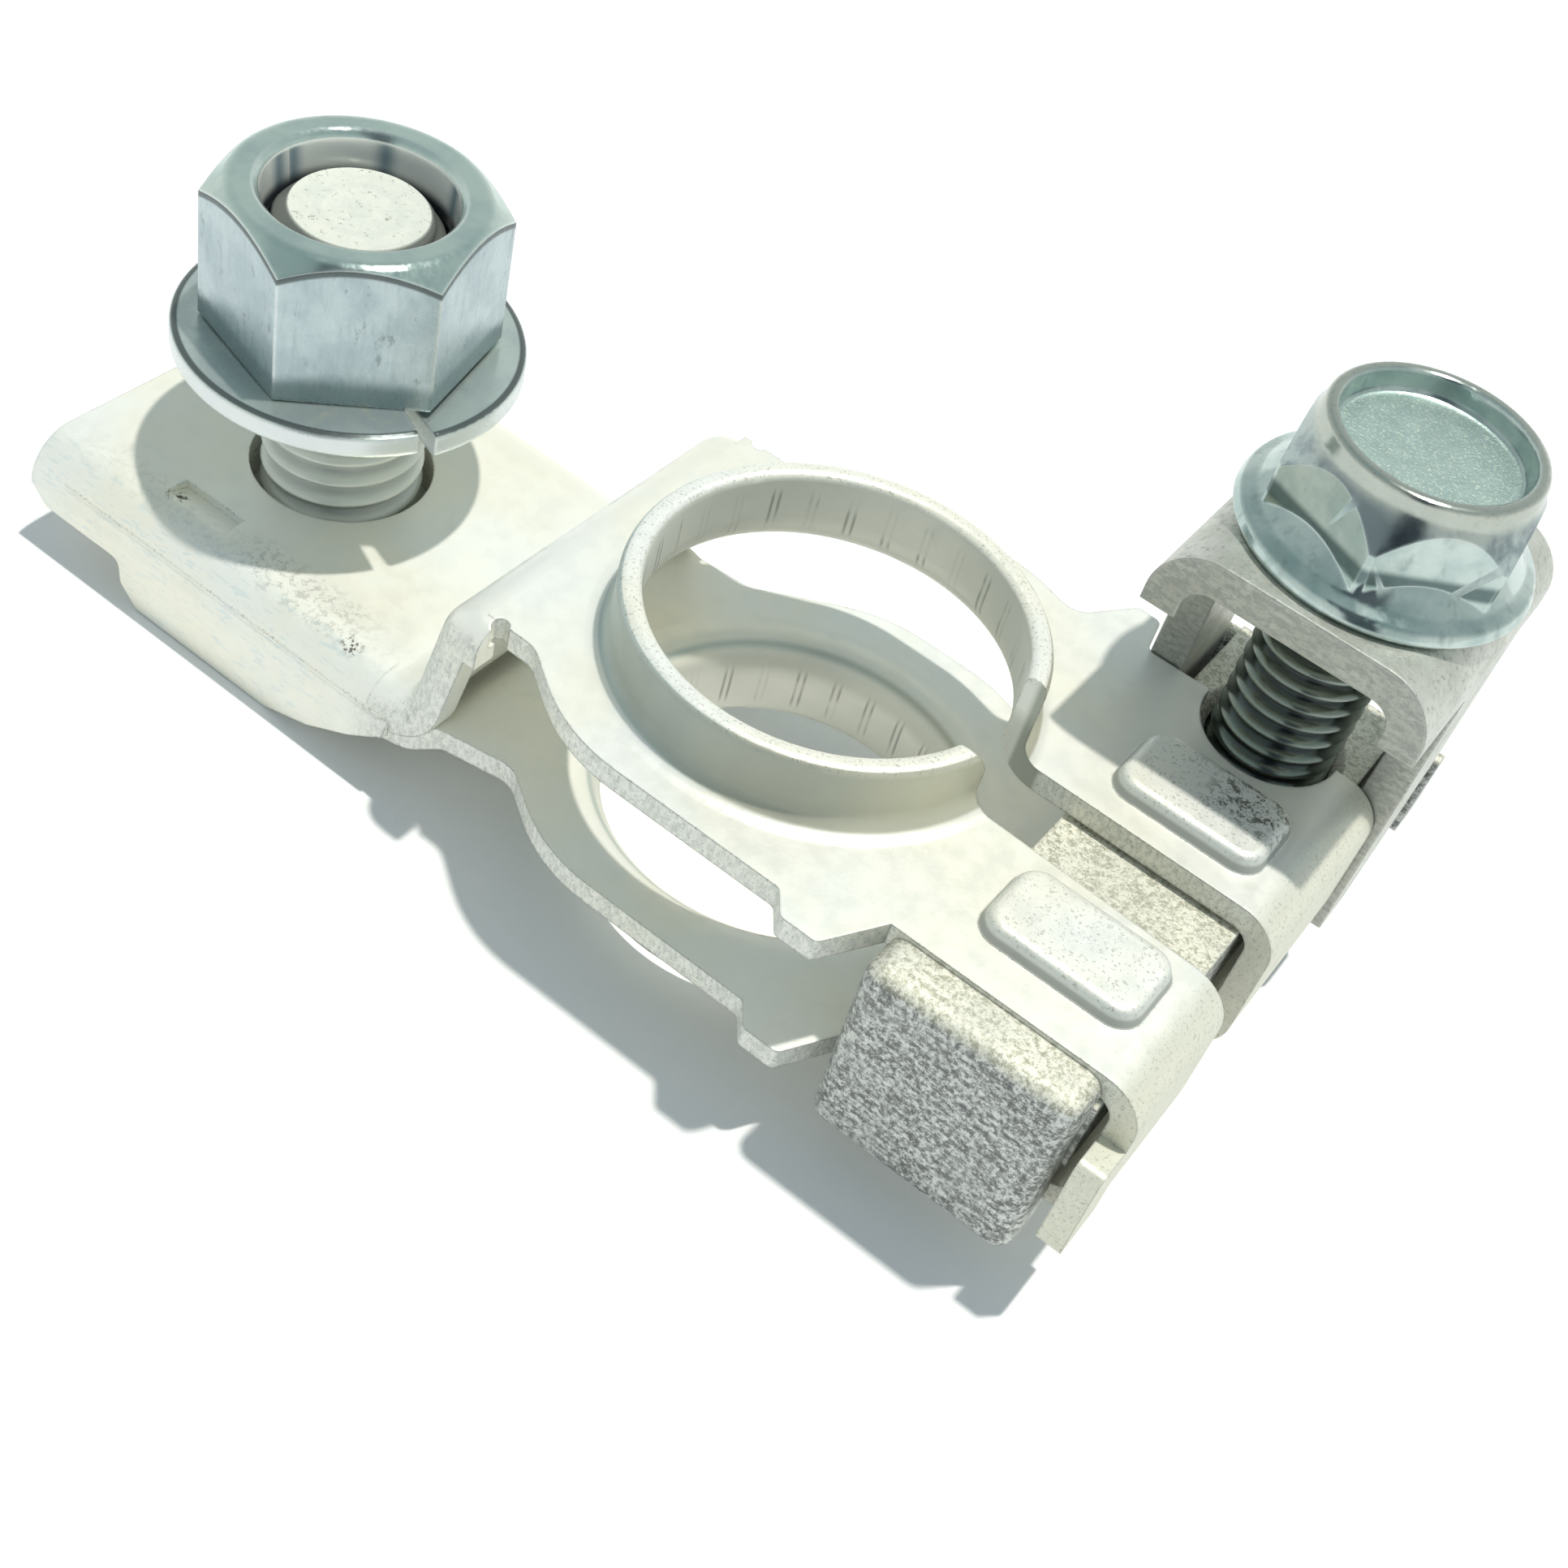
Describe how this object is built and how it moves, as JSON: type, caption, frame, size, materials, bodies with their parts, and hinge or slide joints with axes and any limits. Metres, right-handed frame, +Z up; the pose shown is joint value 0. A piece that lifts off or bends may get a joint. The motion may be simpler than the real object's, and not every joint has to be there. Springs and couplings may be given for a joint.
{
  "type": "battery terminal clamp",
  "caption": "Battery terminal clamp tightened from above: folded sheet ring for the post, threaded stud with nut and washer, saddle bracket and upright flange bolt.",
  "frame": {"origin": "on the axis of the battery post, at the top face of the upper plate", "axes": "+X to the ends of the clamping arms, +Y to the clamp bolt, +Z up, away from the battery; the post leaves along -Z"},
  "size_m": [0.0615, 0.0329, 0.0297],
  "materials": {
    "tin_plated_sheet": "bright tin plating",
    "stud_tin": "tin plating",
    "nut_zinc": "bluish zinc",
    "washer_zinc": "bluish zinc",
    "plate_nut_steel": "coarse tin plating",
    "bracket_zinc": "matte zinc",
    "bolt_zinc": "greenish zinc"
  },
  "bodies": {
    "terminal": {"terminal_body": "tin_plated_sheet", "stud_bolt": "stud_tin", "plate_nut": "plate_nut_steel"},
    "washer": {"stud_washer": "washer_zinc"},
    "nut": {"stud_nut": "nut_zinc"},
    "saddle": {"bracket": "bracket_zinc"},
    "bolt": {"clamp_bolt": "bolt_zinc"}
  },
  "joints": [
    {"name": "washer_slide", "type": "slide", "parent": "terminal", "child": "washer", "axis": [0, 0, 1], "range_m": [-0.0067, 0.002]},
    {"name": "nut_turn", "type": "hinge", "parent": "washer", "child": "nut", "pos_m": [-0.02805, 0.00015, 0.0045], "axis": [0, 0, 1], "range_deg": [-1929.6, 576]},
    {"name": "saddle_slide", "type": "slide", "parent": "terminal", "child": "saddle", "axis": [0, 0, 1], "range_m": [-0.0013, 0.003]},
    {"name": "bolt_turn", "type": "hinge", "parent": "saddle", "child": "bolt", "pos_m": [0.0165, 0.0133, 0.0107], "axis": [0, 0, 1], "range_deg": [-468, 1080]}
  ],
  "couplings": [
    {"joint": "nut_turn", "follows": "washer_slide", "rad_per_m": 5026.5},
    {"joint": "bolt_turn", "follows": "saddle_slide", "rad_per_m": 6283.2}
  ]
}
